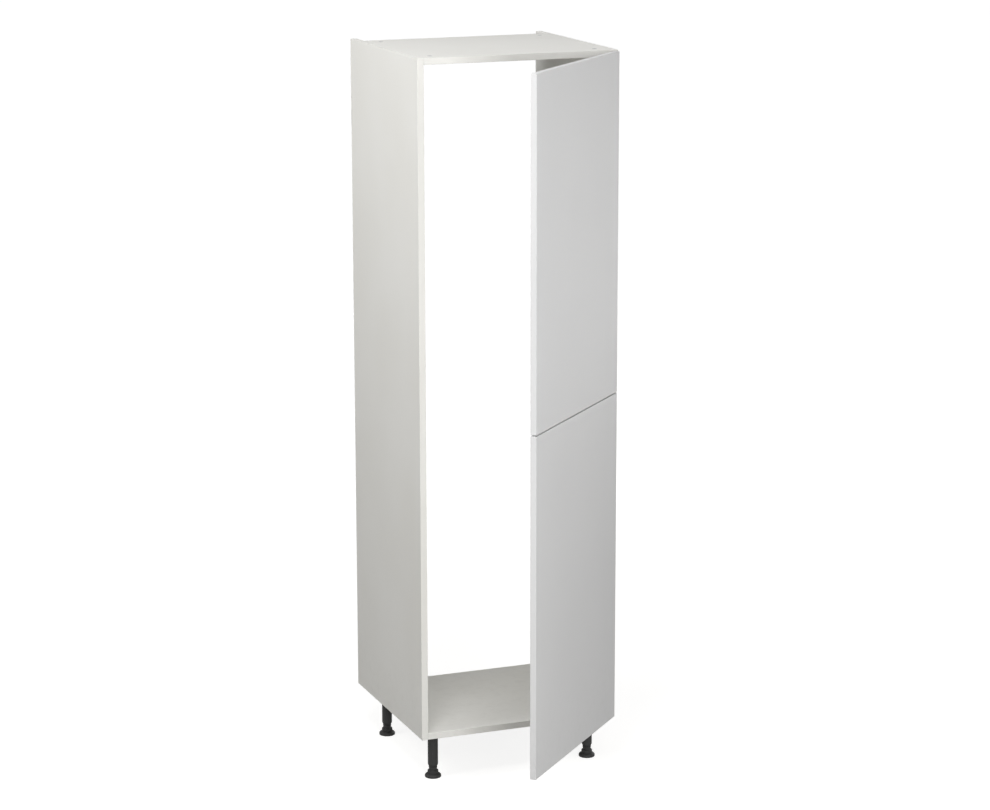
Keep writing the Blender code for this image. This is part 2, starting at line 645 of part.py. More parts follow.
def door(name, low, high, frame):
    """A slab door with a blind bore for each cup, and the hinges that carry it."""
    long_axis = empty(f"{name}_long_link_axis", (*LONG_ARM_PIVOT, 0), LONG_LINK_TURN, frame)
    short_axis = empty(f"{name}_short_link_axis", (*SHORT_ARM_PIVOT, 0), SHORT_LINK_TURN, frame)
    reach = Vector(LONG_CUP_PIVOT) - Vector(LONG_ARM_PIVOT)
    door_axis = empty(f"{name}_door_axis", (*reach, 0), DOOR_TURN - LONG_LINK_TURN, long_axis)

    near = cup_place(DOOR_EDGE, DOOR_BACK)
    far = cup_place(DOOR_EDGE + DOOR_WIDTH, DOOR_BACK + DOOR_THICKNESS)
    slab = board(f"{name}_door", (*near, low), (*far, high), WHITE_DOOR, door_axis)
    soften(slab, DOOR_EDGE_ROUND, DOOR_EDGE_STEPS)
    centre = cup_place(CUP_INBOARD, DOOR_BACK)
    for number, height in enumerate(hinge_heights(low, high), 1):
        bore = laid(rod(CUP_DIAMETER, -OVERRUN, CUP_DEPTH + SEAT_GAP, CUP_SIDES), "Y")
        shape(slab, bore, (*centre, height))
        hinge = f"{name}_hinge_{number}"
        mounting_plate(f"{hinge}_plate", height, frame)
        arm(f"{hinge}_arm", height, frame)
        cup(f"{hinge}_cup", height, door_axis)
        long_link(f"{hinge}_long_link", height, long_axis)
        short_link(f"{hinge}_short_link", height, short_axis)


def clear_scene():
    """Remove every object and leave no old material behind."""
    for old in list(bpy.data.objects):
        bpy.data.objects.remove(old, do_unlink=True)
    for old in list(bpy.data.materials):
        bpy.data.materials.remove(old)


def build():
    """Model the whole unit."""
    clear_scene()
    for name, side in SIDES.items():
        side_panel(f"{name}_side_panel", side)
    cross_panel("top_panel", 1)
    cross_panel("base_panel", -1)

    rows = {
        "front": FRONT_Y + LEG_FROM_FRONT,
        "rear": FRONT_Y + CARCASS_DEPTH - REAR_RECESS - LEG_FROM_BASE_REAR,
    }
    for row_name, y in rows.items():
        for side_name, side in SIDES.items():
            leg(f"{row_name}_{side_name}_leg", side * (CARCASS_WIDTH / 2 - LEG_FROM_SIDE), y)

    frame = empty("hinge_frame", (INNER_X, FRONT_Y, 0), pi)
    door_low, door_high = LEG_HEIGHT + DOOR_BASE_GAP, CARCASS_TOP - DOOR_TOP_GAP
    split = door_low + (door_high - door_low) * (1 - UPPER_DOOR_SHARE)
    door("upper", split + DOOR_SPLIT_GAP / 2, door_high, frame)
    door("lower", door_low, split - DOOR_SPLIT_GAP / 2, frame)


if __name__ == "__main__":
    build()
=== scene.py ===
"""Dresses the fridge housing unit: its finishes, small fittings, round legs, light and camera.

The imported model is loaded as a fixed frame, in metres, with +Z up and the front facing -Y. Each
sub-assembly is a class that takes its places from the frame, and each finish is a frozen dataclass.
"""

import json
import logging
from dataclasses import dataclass
from enum import Enum
from functools import cache
from math import cos, pi, radians, sin
from typing import Callable, Sequence

import bmesh
import bpy
from mathutils import Matrix, Vector


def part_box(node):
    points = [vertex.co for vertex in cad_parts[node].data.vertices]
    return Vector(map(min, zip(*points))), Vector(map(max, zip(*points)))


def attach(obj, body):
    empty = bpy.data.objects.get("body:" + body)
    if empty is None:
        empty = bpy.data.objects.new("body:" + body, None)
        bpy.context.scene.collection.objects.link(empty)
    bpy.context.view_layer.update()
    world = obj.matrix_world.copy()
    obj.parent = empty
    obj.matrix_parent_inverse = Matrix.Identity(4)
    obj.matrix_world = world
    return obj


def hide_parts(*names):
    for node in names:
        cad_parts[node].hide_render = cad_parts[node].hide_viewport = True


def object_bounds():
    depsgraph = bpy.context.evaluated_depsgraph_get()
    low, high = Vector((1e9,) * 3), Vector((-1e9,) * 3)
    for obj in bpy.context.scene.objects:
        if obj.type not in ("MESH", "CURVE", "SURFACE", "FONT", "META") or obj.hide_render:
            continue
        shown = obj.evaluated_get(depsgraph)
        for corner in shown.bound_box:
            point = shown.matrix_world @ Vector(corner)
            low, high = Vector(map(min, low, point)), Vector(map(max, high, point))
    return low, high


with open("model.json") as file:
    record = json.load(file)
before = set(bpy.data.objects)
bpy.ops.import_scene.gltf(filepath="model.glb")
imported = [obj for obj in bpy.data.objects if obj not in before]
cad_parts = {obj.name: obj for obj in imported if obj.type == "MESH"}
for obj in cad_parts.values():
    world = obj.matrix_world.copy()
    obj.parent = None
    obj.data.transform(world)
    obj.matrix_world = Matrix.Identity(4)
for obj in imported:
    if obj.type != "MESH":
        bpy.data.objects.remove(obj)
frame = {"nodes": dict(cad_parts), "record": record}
CAD_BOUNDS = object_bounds()

LOG = logging.getLogger("fridge_housing")

FLOAT = "NodeSocketFloat"
WHOLE = "NodeSocketInt"
VECTOR = "NodeSocketVector"
SHAPE = "NodeSocketGeometry"
FINISH = "NodeSocketMaterial"

RGBA = tuple[float, float, float, float]
Place = tuple[float, float, float]
Profile = list[tuple[float, float]]
Socket = bpy.types.NodeSocket
Object = bpy.types.Object
Material = bpy.types.Material

WHITE: RGBA = (1, 1, 1, 1)
WELD = 0.000002
SHARP_ANGLE = radians(32)
# The doors stand 45 degrees open, which turns their own axes by this much about Z.
DOOR_TURN = radians(45) - pi


class Side(Enum):
    """A side of the unit, seen from the front."""

    LEFT = "left"
    RIGHT = "right"


class Row(Enum):
    """A row of legs or cams along Y."""

    FRONT = "front"
    REAR = "rear"


class Leaf(Enum):
    """One of the two doors."""

    UPPER = "upper"
    LOWER = "lower"


class Drive(Enum):
    """How a screw is driven, with the number of slots that cross in its head."""

    SLOT = 1
    CROSS = 2


class NodeWriter:
    """Adds nodes to one tree and links them."""

    def __init__(self, tree: bpy.types.NodeTree) -> None:
        """Take the tree to write in."""
        self.tree = tree

    def node(self, kind: str, **settings: object) -> bpy.types.Node:
        """Add a node.

        Args:
            kind: The node's type.
            settings: Properties to set on it.

        Returns:
            The new node.
        """
        made = self.tree.nodes.new(kind)
        for name, value in settings.items():
            setattr(made, name, value)
        return made

    def feed(self, target: Socket, source: object) -> None:
        """Link a socket into an input, or set the input's own value.

        Args:
            target: The input.
            source: A socket or a plain value.
        """
        if isinstance(source, bpy.types.NodeSocket):
            self.tree.links.new(source, target)
        elif source is not None:
            target.default_value = source

    def operate(self, kind: str, operation: str, values: Sequence[object]) -> Socket:
        """Add a math node of one kind and feed it.

        Args:
            kind: The node's type.
            operation: What it works out.
            values: Its inputs, in order.

        Returns:
            The result's socket.
        """
        made = self.node(kind, operation=operation)
        for target, value in zip(made.inputs, values):
            self.feed(target, value)
        return made.outputs[0]

    def calculate(self, operation: str, *values: object) -> Socket:
        """Work out a number from sockets or plain numbers."""
        return self.operate("ShaderNodeMath", operation, values)

    def combine(self, operation: str, *values: object) -> Socket:
        """Work out a vector from sockets or plain vectors."""
        return self.operate("ShaderNodeVectorMath", operation, values)

    def split(self, place: object) -> bpy.types.NodeOutputs:
        """Take a vector apart.

        Args:
            place: The vector.

        Returns:
            The sockets of its X, Y and Z.
        """
        made = self.node("ShaderNodeSeparateXYZ")
        self.feed(made.inputs[0], place)
        return made.outputs

    def mapped(self, place: object, change: str, amount: object) -> Socket:
        """Stretch or turn coordinates.

        Args:
            place: The coordinates.
            change: Scale or Rotation.
            amount: How much, along or about each axis.

        Returns:
            The new coordinates' socket.
        """
        made = self.node("ShaderNodeMapping")
        self.feed(made.inputs["Vector"], place)
        self.feed(made.inputs[change], amount)
        return made.outputs[0]

    def blend(self, factor: object, first: object, second: object) -> Socket:
        """Mix two colours, through the sockets that a Mix node keeps for colours.

        Args:
            factor: How much of the second colour shows.
            first: The first colour.
            second: The second colour.

        Returns:
            The mixed colour's socket.
        """
        made = self.node("ShaderNodeMix", data_type="RGBA")
        for index, value in ((0, factor), (6, first), (7, second)):
            self.feed(made.inputs[index], value)
        return made.outputs[2]

    def span(self, value: object, low: float, high: float, start: float = 0, end: float = 1) -> Socket:
        """Map a number from one range to another, with soft ends.

        Args:
            value: The number.
            low: The start of its range.
            high: The end of its range.
            start: What the start becomes.
            end: What the end becomes.

        Returns:
            The mapped number's socket.
        """
        made = self.node("ShaderNodeMapRange", interpolation_type="SMOOTHSTEP")
        for target, given in zip(made.inputs, (value, low, high, start, end)):
            self.feed(target, given)
        return made.outputs[0]

    def noise(self, place: object, scale: object, detail: float = 2, roughness: float = 0.5) -> Socket:
        """Add a cloud pattern.

        Args:
            place: The coordinates that it follows.
            scale: Its clouds in a metre.
            detail: How many finer layers it has.
            roughness: How strong the finer layers are.

        Returns:
            Its value's socket, from 0 to 1.
        """
        made = self.node("ShaderNodeTexNoise")
        given = {"Vector": place, "Scale": scale, "Detail": detail, "Roughness": roughness}
        for name, value in given.items():
            self.feed(made.inputs[name], value)
        return made.outputs[0]

    def background_rays(self) -> Socket:
        """Mask the rays that show a background: those of the camera, of gloss and of glass.

        Returns:
            The mask's socket.
        """
        path = self.node("ShaderNodeLightPath").outputs
        first = self.calculate("MAXIMUM", path["Is Camera Ray"], path["Is Glossy Ray"])
        return self.calculate("MAXIMUM", first, path["Is Transmission Ray"])


Drawing = Callable[[NodeWriter, bpy.types.NodeOutputs], dict[str, Socket]]

# Scales of the shared effects, in repeats to a metre, and the height over which dust thins out.
RUB_SCALE = 260
SMEAR_STRETCH = (5.0, 5.0, 1.3)
SMEAR_SCALE = 1.6
SPECK_SCALE = 34
PLATING_SCALE = 90
DUST_REACH = 0.35


def effect(
    name: str, inputs: dict[str, str], outputs: dict[str, str], draw: Drawing
) -> bpy.types.NodeTree:
    """Build a shader node group once, and share it from then on.

    Args:
        name: The group's name.
        inputs: Its inputs' names and socket types.
        outputs: Its outputs' names and socket types.
        draw: Fills the group from a writer and the inputs, and returns the outputs by name.

    Returns:
        The group's tree.
    """
    if name in bpy.data.node_groups:
        return bpy.data.node_groups[name]
    tree = bpy.data.node_groups.new(name, "ShaderNodeTree")
    for label, kind in inputs.items():
        tree.interface.new_socket(name=label, in_out="INPUT", socket_type=kind)
    for label, kind in outputs.items():
        tree.interface.new_socket(name=label, in_out="OUTPUT", socket_type=kind)
    writer = NodeWriter(tree)
    given = writer.node("NodeGroupInput").outputs
    result = writer.node("NodeGroupOutput").inputs
    for label, source in draw(writer, given).items():
        writer.feed(result[label], source)
    return tree


def draw_grain(writer: NodeWriter, given: bpy.types.NodeOutputs) -> dict[str, Socket]:
    """Draw fine pores over broad clouds, as on a pressed or moulded surface.

    Args:
        writer: The group's writer.
        given: The group's inputs.

    Returns:
        The fine pores and the broad clouds.
    """
    fine = writer.noise(given["Place"], given["Pores"], detail=3, roughness=0.6)
    broad = writer.noise(given["Place"], given["Clouds"])
    return {"Fine": fine, "Broad": writer.span(broad, low=0.3, high=0.7)}


def draw_edge(writer: NodeWriter, given: bpy.types.NodeOutputs) -> dict[str, Socket]:
    """Draw a mask of a box's edges, broken up by fine noise, where hands and tools rub.

    Args:
        writer: The group's writer.
        given: The group's inputs.

    Returns:
        The rubbed edge's mask, and the distance from the nearest edge.
    """
    low = writer.combine("ABSOLUTE", writer.combine("SUBTRACT", given["Place"], given["Low"]))
    high = writer.combine("ABSOLUTE", writer.combine("SUBTRACT", given["High"], given["Place"]))
    across, along, up = writer.split(writer.combine("MINIMUM", low, high))
    smaller = writer.calculate("MINIMUM", across, along)
    larger = writer.calculate("MAXIMUM", across, along)
    middle = writer.calculate("MAXIMUM", smaller, writer.calculate("MINIMUM", larger, up))
    rub = writer.noise(given["Place"], RUB_SCALE, detail=3, roughness=0.7)
    broken = writer.span(rub, low=0.42, high=0.62)
    near = writer.calculate("SUBTRACT", 1, writer.calculate("DIVIDE", middle, given["Width"]))
    held = writer.calculate("MAXIMUM", near, 0)
    return {"Mask": writer.calculate("MULTIPLY", held, broken), "Distance": middle}


def draw_marks(writer: NodeWriter, given: bpy.types.NodeOutputs) -> dict[str, Socket]:
    """Draw faint wiped smears and settled dust.

    Args:
        writer: The group's writer.
        given: The group's inputs.

    Returns:
        The smears, and the dust that grows towards a low place.
    """
    wiped = writer.mapped(given["Place"], "Scale", SMEAR_STRETCH)
    smears = writer.noise(wiped, SMEAR_SCALE, detail=4, roughness=0.65)
    lift = writer.calculate("SUBTRACT", writer.split(given["Place"])[2], given["Settle"])
    low = writer.span(lift, 0, DUST_REACH, start=1, end=0)
    specks = writer.noise(given["Place"], SPECK_SCALE, detail=4, roughness=0.7)
    dust = writer.calculate("MULTIPLY", low, writer.span(specks, low=0.45, high=0.75))
    return {"Smears": writer.span(smears, low=0.5, high=0.8), "Dust": dust}


def draw_brushed(writer: NodeWriter, given: bpy.types.NodeOutputs) -> dict[str, Socket]:
    """Draw fine lines along one direction of a metal strip, over a cloudy plating.

    Args:
        writer: The group's writer.
        given: The group's inputs.

    Returns:
        The lines and the plating's clouds.
    """
    drawn = writer.mapped(given["Place"], "Scale", given["Stretch"])
    lines = writer.noise(drawn, given["Lines"], detail=3, roughness=0.6)
    clouds = writer.noise(given["Place"], PLATING_SCALE, detail=3, roughness=0.6)
    return {"Lines": lines, "Clouds": writer.span(clouds, low=0.35, high=0.7)}


def grain_group() -> bpy.types.NodeTree:
    """The shared group for pores and clouds."""
    inputs = {"Place": VECTOR, "Pores": FLOAT, "Clouds": FLOAT}
    return effect("grain", inputs, {"Fine": FLOAT, "Broad": FLOAT}, draw_grain)


def edge_group() -> bpy.types.NodeTree:
    """The shared group for rubbed edges."""
    inputs = {"Place": VECTOR, "Low": VECTOR, "High": VECTOR, "Width": FLOAT}
    return effect("rubbed_edge", inputs, {"Mask": FLOAT, "Distance": FLOAT}, draw_edge)


def marks_group() -> bpy.types.NodeTree:
    """The shared group for smears and dust."""
    inputs = {"Place": VECTOR, "Settle": FLOAT}
    return effect("handling_marks", inputs, {"Smears": FLOAT, "Dust": FLOAT}, draw_marks)


def brushed_group() -> bpy.types.NodeTree:
    """The shared group for drawn metal."""
    inputs = {"Place": VECTOR, "Stretch": VECTOR, "Lines": FLOAT}
    return effect("drawn_metal", inputs, {"Lines": FLOAT, "Clouds": FLOAT}, draw_brushed)


@dataclass(frozen=True)
class Span:
    """A box in the plan of a piece that may stand turned about Z."""

    low: Vector
    high: Vector

    @classmethod
    def of(cls, node: str, turn: float) -> "Span":
        """Measure a node along its own turned axes.

        Args:
            node: The node's name.
            turn: How far the piece stands turned about Z.

        Returns:
            Its box along those axes.
        """
        back = Matrix.Rotation(-turn, 3, "Z")
        places = [back @ vertex.co for vertex in frame["nodes"][node].data.vertices]
        low = Vector(min(place[axis] for place in places) for axis in range(3))
        high = Vector(max(place[axis] for place in places) for axis in range(3))
        return cls(low, high)


class Surface:
    """A material under construction, with its shader and its coordinates."""

    def __init__(self, name: str, roughness: float, metallic: float = 0.0, gloss: float = 0.5) -> None:
        """Start a material.

        Args:
            name: Its name.
            roughness: The shader's plain roughness.
            metallic: The shader's plain metallic value.
            gloss: How much the bare surface mirrors, with 0.5 for a clear lacquer.
        """
        self.material = bpy.data.materials.new(name)
        self.material.use_nodes = True
        self.writer = NodeWriter(self.material.node_tree)
        self.shader = self.material.node_tree.nodes["Principled BSDF"]
        self.shader.inputs["Roughness"].default_value = roughness
        self.shader.inputs["Metallic"].default_value = metallic
        self.shader.inputs["Specular IOR Level"].default_value = gloss
        self.place = self.writer.node("ShaderNodeTexCoord").outputs["Object"]

    def turn(self, angle: float) -> None:
        """Turn the coordinates to those of a piece that stands turned about Z."""
        self.place = self.writer.mapped(self.place, "Rotation", (0, 0, -angle))

    def use(self, tree: bpy.types.NodeTree, **values: object) -> bpy.types.NodeOutputs:
        """Place a shared effect.

        Args:
            tree: The effect's group.
            values: Its inputs by name, apart from Place.

        Returns:
            Its outputs.
        """
        group = self.writer.node("ShaderNodeGroup", node_tree=tree)
        for name, value in {"Place": self.place, **values}.items():
            self.writer.feed(group.inputs[name], value)
        return group.outputs

    def finish(
        self, colour: Socket, roughness: Socket, height: Socket, depth: float, strength: float
    ) -> Material:
        """Feed the shader.

        Args:
            colour: The base colour.
            roughness: The roughness.
            height: What the bump follows.
            depth: The bump's depth in metres.
            strength: The bump's strength.

        Returns:
            The finished material.
        """
        bump = self.writer.node("ShaderNodeBump")
        bump.inputs["Strength"].default_value = strength
        bump.inputs["Distance"].default_value = depth
        self.writer.feed(bump.inputs["Height"], height)
        self.writer.feed(self.shader.inputs["Base Color"], colour)
        self.writer.feed(self.shader.inputs["Roughness"], roughness)
        self.writer.feed(self.shader.inputs["Normal"], bump.outputs[0])
        return self.material


@dataclass(frozen=True)
class BoardFinish:
    """A white faced board: pearl pores, faint clouds, an edge band's joint and rubbed edges."""

    name: str
    colour: RGBA
    shade: RGBA
    rubbed: RGBA
    dust: RGBA
    roughness: float
    pores: float
    clouds: float
    pore_depth: float
    band: float
    band_joint: float
    wear_width: float
    wear: float
    smears: float
    gloss: float
    joint_tone: float = 0.22
    dust_tone: float = 0.10
    dust_line: float = 0.08
    pore_gloss: float = 0.08
    relief: float = 0.5

    def dress(self, node: str, turn: float = 0.0) -> None:
        """Give a board its own copy of the finish, fitted to its edges.

        Args:
            node: The board's node.
            turn: The board's turn about Z.
        """
        span = Span.of(node, turn)
        surface = Surface(f"{self.name}_{node}", self.roughness, gloss=self.gloss)
        surface.turn(turn)
        writer = surface.writer
        grain = surface.use(grain_group(), Pores=self.pores, Clouds=self.clouds)
        edge = surface.use(edge_group(), Low=span.low, High=span.high, Width=self.wear_width)
        marks = surface.use(marks_group(), Settle=self.dust_line)
        joint_near = writer.calculate("SUBTRACT", edge["Distance"], self.band)
        joint = writer.span(writer.calculate("ABSOLUTE", joint_near), self.band_joint, 0)

        colour = writer.blend(grain["Broad"], self.colour, self.shade)
        layers = (
            (edge["Mask"], self.wear, self.rubbed),
            (joint, self.joint_tone, self.rubbed),
            (marks["Dust"], self.dust_tone, self.dust),
        )
        for mask, share, tone in layers:
            colour = writer.blend(writer.calculate("MULTIPLY", mask, share), colour, tone)
        smeared = writer.calculate("MULTIPLY_ADD", marks["Smears"], self.smears, self.roughness)
        roughness = writer.calculate("MULTIPLY_ADD", grain["Fine"], self.pore_gloss, smeared)
        sunk = writer.calculate("MULTIPLY_ADD", joint, -1.0, grain["Fine"])
        paint(node, surface.finish(colour, roughness, sunk, self.pore_depth, self.relief))


@dataclass(frozen=True)
class MetalFinish:
    """A metal: drawn lines or cast skin, a cloudy plating and darker tones in its clouds."""

    name: str
    colour: RGBA
    shade: RGBA
    roughness: float
    stretch: tuple[float, float, float]
    lines: float
    line_depth: float
    line_strength: float
    cloud_gloss: float = 0.06
    line_gloss: float = 0.06

    def made(self) -> Material:
        """The finish's material, made once.

        Returns:
            The material.
        """
        if self.name in bpy.data.materials:
            return bpy.data.materials[self.name]
        surface = Surface(self.name, self.roughness, metallic=1.0)
        writer = surface.writer
        brushed = surface.use(brushed_group(), Stretch=self.stretch, Lines=self.lines)
        colour = writer.blend(brushed["Clouds"], self.colour, self.shade)
        clouded = writer.calculate("MULTIPLY_ADD", brushed["Clouds"], self.cloud_gloss, self.roughness)
        roughness = writer.calculate("MULTIPLY_ADD", brushed["Lines"], self.line_gloss, clouded)
        return surface.finish(colour, roughness, brushed["Lines"], self.line_depth, self.line_strength)


@dataclass(frozen=True)
class PlasticFinish:
    """A moulded plastic: fine skin, faint flow clouds, and dust on what lies low."""

    name: str
    colour: RGBA
    shade: RGBA
    dust: RGBA
    roughness: float
    pores: float
    pore_depth: float
    gloss: float
    clouds: float = 26
    dust_tone: float = 0.12
    dust_line: float = 0.0
    skin_gloss: float = 0.16
    relief: float = 0.4

    def made(self) -> Material:
        """The finish's material, made once.

        Returns:
            The material.
        """
        if self.name in bpy.data.materials:
            return bpy.data.materials[self.name]
        surface = Surface(self.name, self.roughness, gloss=self.gloss)
        writer = surface.writer
        grain = surface.use(grain_group(), Pores=self.pores, Clouds=self.clouds)
        marks = surface.use(marks_group(), Settle=self.dust_line)
        colour = writer.blend(grain["Broad"], self.colour, self.shade)
        dusted = writer.calculate("MULTIPLY", marks["Dust"], self.dust_tone)
        colour = writer.blend(dusted, colour, self.dust)
        roughness = writer.calculate("MULTIPLY_ADD", grain["Fine"], self.skin_gloss, self.roughness)
        return surface.finish(colour, roughness, grain["Fine"], self.pore_depth, self.relief)


CARCASS_BOARD = BoardFinish(
    name="melamine_board",
    colour=(0.850, 0.843, 0.808, 1), shade=(0.822, 0.813, 0.772, 1),
    rubbed=(0.60, 0.59, 0.55, 1), dust=(0.42, 0.40, 0.36, 1),
    roughness=0.42, pores=1900, clouds=2.6, pore_depth=0.00006, band=0.0009, band_joint=0.00012,
    wear_width=0.0014, wear=0.35, smears=0.05, gloss=0.22,
)
DOOR_BOARD = BoardFinish(
    name="satin_door",
    colour=(0.735, 0.735, 0.737, 1), shade=(0.710, 0.710, 0.713, 1),
    rubbed=(0.53, 0.53, 0.52, 1), dust=(0.42, 0.41, 0.39, 1),
    roughness=0.36, pores=2600, clouds=1.7, pore_depth=0.00003, band=0.0010, band_joint=0.00010,
    wear_width=0.0018, wear=0.25, smears=0.07, gloss=0.20,
)
LEG_PLASTIC = PlasticFinish(
    name="leg_plastic",
    colour=(0.004, 0.004, 0.0043, 1), shade=(0.0065, 0.0065, 0.0068, 1), dust=(0.035, 0.034, 0.032, 1),
    roughness=0.42, pores=1500, pore_depth=0.00005, gloss=0.05,
)
NICKEL_STEEL = MetalFinish(
    name="nickel_steel", colour=(0.66, 0.65, 0.63, 1), shade=(0.60, 0.59, 0.57, 1), roughness=0.20,
    stretch=(1.0, 0.1, 1.0), lines=3200, line_depth=0.00001, line_strength=0.05,
)
CAST_ZINC = MetalFinish(
    name="cast_zinc", colour=(0.50, 0.50, 0.51, 1), shade=(0.38, 0.38, 0.39, 1), roughness=0.36,
    stretch=(1.0, 1.0, 1.0), lines=1100, line_depth=0.00004, line_strength=0.3,
)
SCREW_STEEL = MetalFinish(
    name="screw_steel", colour=(0.70, 0.69, 0.66, 1), shade=(0.52, 0.51, 0.48, 1), roughness=0.24,
    stretch=(1.0, 1.0, 0.2), lines=1800, line_depth=0.00001, line_strength=0.12,
)


def paint(node: str, material: Material) -> None:
    """Give a CAD node a material."""
    for place in frame["nodes"][node].material_slots:
        place.material = material


def body_of(node: str) -> str:
    """The name of the body that a node belongs to."""
    bodies = frame["record"]["behaviour"]["bodies"]
    return next(name for name, nodes in bodies.items() if node in nodes)


def as_object(name: str, mesh: bmesh.types.BMesh, material: Material) -> Object:
    """Make an object at the origin from a mesh under construction.

    Args:
        name: The object's name.
        mesh: The mesh, which is freed.
        material: Its material.

    Returns:
        The object.
    """
    bmesh.ops.remove_doubles(mesh, verts=mesh.verts, dist=WELD)
    bmesh.ops.recalc_face_normals(mesh, faces=mesh.faces)
    data = bpy.data.meshes.new(name)
    mesh.to_mesh(data)
    mesh.free()
    data.materials.append(material)
    data.shade_smooth()
    data.set_sharp_from_angle(angle=SHARP_ANGLE)
    made = bpy.data.objects.new(name, data)
    bpy.context.collection.objects.link(made)
    return made


class GeometryTree:
    """A geometry node tree with named inputs, which ends in plain meshes of one material."""

    def __init__(self, name: str, inputs: dict[str, str]) -> None:
        """Start the tree.

        Args:
            name: The tree's name.
            inputs: Its inputs' names and socket types, after the geometry.
        """
        self.tree = bpy.data.node_groups.new(name, "GeometryNodeTree")
        for label, kind in {"Geometry": SHAPE, **inputs}.items():
            self.tree.interface.new_socket(name=label, in_out="INPUT", socket_type=kind)
        self.tree.interface.new_socket(name="Geometry", in_out="OUTPUT", socket_type=SHAPE)
        self.writer = NodeWriter(self.tree)
        self.given = self.writer.node("NodeGroupInput").outputs

    def place(self, kind: str, settings: dict[str, str] | None = None, **inputs: object) -> bpy.types.Node:
        """Add a node and feed its inputs by name, with underscores for spaces.

        Args:
            kind: The node's type.
            settings: Properties to set on it.
            inputs: Its inputs.

        Returns:
            The node.
        """
        made = self.writer.node(kind, **(settings or {}))
        for label, value in inputs.items():
            self.writer.feed(made.inputs[label.replace("_", " ")], value)
        return made

    def vector(self, across: object, along: object, up: object) -> Socket:
        """Join three numbers into a vector.

        Args:
            across: Its X.
            along: Its Y.
            up: Its Z.

        Returns:
            The vector's socket.
        """
        made = self.writer.node("ShaderNodeCombineXYZ")
        for target, value in zip(made.inputs, (across, along, up)):
            self.writer.feed(target, value)
        return made.outputs[0]

    def cone(self, bottom: Socket, top: Socket, depth: Socket) -> Socket:
        """Add a closed round piece of a screw's head.

        Args:
            bottom: Its radius at the bottom.
            top: Its radius at the top.
            depth: Its height.

        Returns:
            Its mesh's socket.
        """
        made = self.place(
            "GeometryNodeMeshCone", {"fill_type": "NGON"},
            Vertices=HEAD_SIDES, Radius_Top=top, Radius_Bottom=bottom, Depth=depth,
        )
        return made.outputs["Mesh"]

    def moved(self, shape: Socket, **change: object) -> Socket:
        """Move or stretch a shape, by a Transform node's Translation or Scale."""
        return self.place("GeometryNodeTransform", Geometry=shape, **change).outputs[0]

    def copied(self, points: Socket, shape: Socket, **change: object) -> Socket:
        """Set a copy of a shape on every point."""
        made = self.place("GeometryNodeInstanceOnPoints", Points=points, Instance=shape, **change)
        return made.outputs[0]

    def close(self, instances: Socket) -> None:
        """Realize the instances, give them the material and end the tree.

        Args:
            instances: The instances' socket.
        """
        real = self.place("GeometryNodeRealizeInstances", Geometry=instances).outputs[0]
        dressed = self.place("GeometryNodeSetMaterial", Geometry=real, Material=self.given["Material"])
        self.writer.feed(self.writer.node("NodeGroupOutput").inputs[0], dressed.outputs[0])

    def run(self, name: str, points: Sequence[Vector], body: str, values: dict[str, object]) -> Object:
        """Run the tree on points and keep the result as a plain mesh that rides on a body.

        Args:
            name: The new piece's name.
            points: Where the copies go.
            body: The body that carries them.
            values: The tree's inputs by name.

        Returns:
            The finished piece.
        """
        seeds = bpy.data.meshes.new(f"{name}_points")
        seeds.from_pydata([tuple(point) for point in points], [], [])
        source = bpy.data.objects.new(f"{name}_points", seeds)
        bpy.context.collection.objects.link(source)
        modifier = source.modifiers.new("pattern", "NODES")
        modifier.node_group = self.tree
        for item in self.tree.interface.items_tree:
            if item.in_out == "INPUT" and item.name in values:
                modifier[item.identifier] = values[item.name]
        graph = bpy.context.evaluated_depsgraph_get()
        plain = bpy.data.meshes.new_from_object(source.evaluated_get(graph), depsgraph=graph)
        bpy.data.objects.remove(source, do_unlink=True)
        mesh = bmesh.new()
        mesh.from_mesh(plain)
        made = as_object(name, mesh, values["Material"])
        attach(made, body)
        return made


# A screw head's form, as shares of its diameter, radius or height.
HEAD_SIDES = 24
CROWN_SHARE = 0.72
BARREL_SHARE = 0.45
SLOT_REACH = {Drive.SLOT: 1.4, Drive.CROSS: 0.62}
HEAD_WELD = 0.000005
SCREW_SEED = 7
RIB_SIDES = 8


